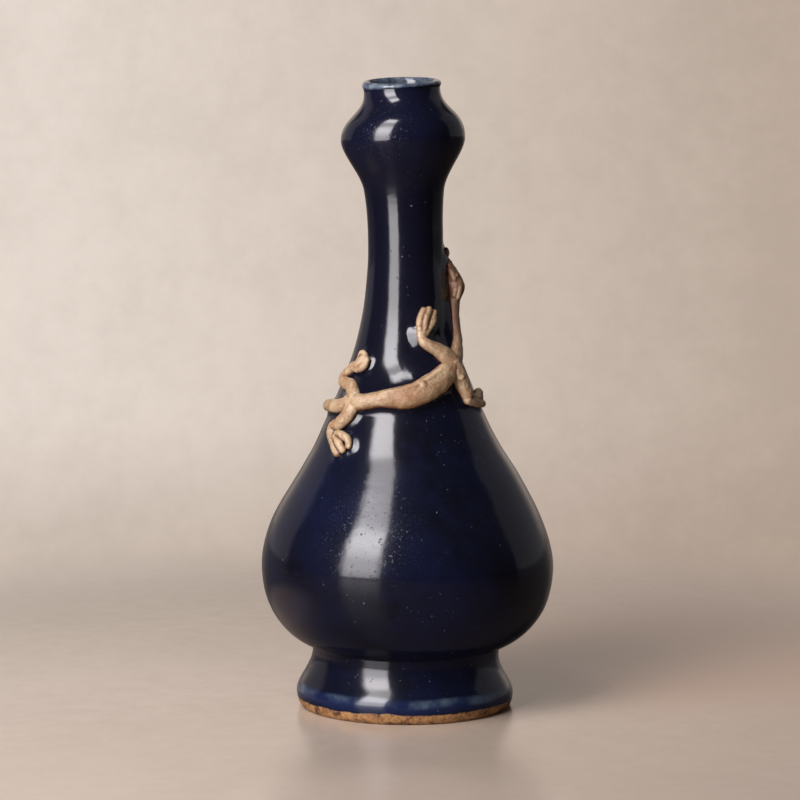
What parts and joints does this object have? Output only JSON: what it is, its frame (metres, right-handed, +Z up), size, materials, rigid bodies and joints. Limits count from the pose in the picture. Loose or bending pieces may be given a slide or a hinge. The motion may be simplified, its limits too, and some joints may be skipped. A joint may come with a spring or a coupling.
{
  "type": "garlic-mouth vase",
  "caption": "Bottle vase with a splayed foot, pear-shaped body, slender neck and bulbed mouth, cobalt glazed, with a bare clay dragon applied round the root of the neck.",
  "frame": {"origin": "on the vase's axis, in the plane that it stands on", "axes": "+Z up along the vase's axis; -Y is the front, which the dragon's torso crosses; +X is to the right seen from the front"},
  "size_m": [0.1168, 0.1168, 0.25],
  "materials": {
    "cobalt_glaze": "glossy deep cobalt glaze, thin and pale on the lip and the foot's edge, bare tan clay at the resting ring",
    "dragon_biscuit": "bare tan clay with orange-brown edges and a faint wax sheen",
    "iron_spot": "dark brown iron-stained clay"
  },
  "bodies": {
    "root": {"foot_ring": "cobalt_glaze", "lower_belly": "cobalt_glaze", "upper_belly": "cobalt_glaze", "neck": "cobalt_glaze", "garlic_head": "cobalt_glaze", "mouth_collar": "cobalt_glaze", "dragon_torso": "dragon_biscuit", "fore_leg_upper": "dragon_biscuit", "fore_leg_lower": "dragon_biscuit", "hind_leg_upper": "dragon_biscuit", "hind_leg_lower": "dragon_biscuit", "dragon_neck": "dragon_biscuit", "dragon_head": "dragon_biscuit", "ear_front": "dragon_biscuit", "ear_back": "dragon_biscuit", "eye_front": "iron_spot", "eye_back": "iron_spot", "pearl_pellet": "dragon_biscuit", "dragon_tail": "dragon_biscuit", "tail_curl": "dragon_biscuit"}
  },
  "joints": []
}
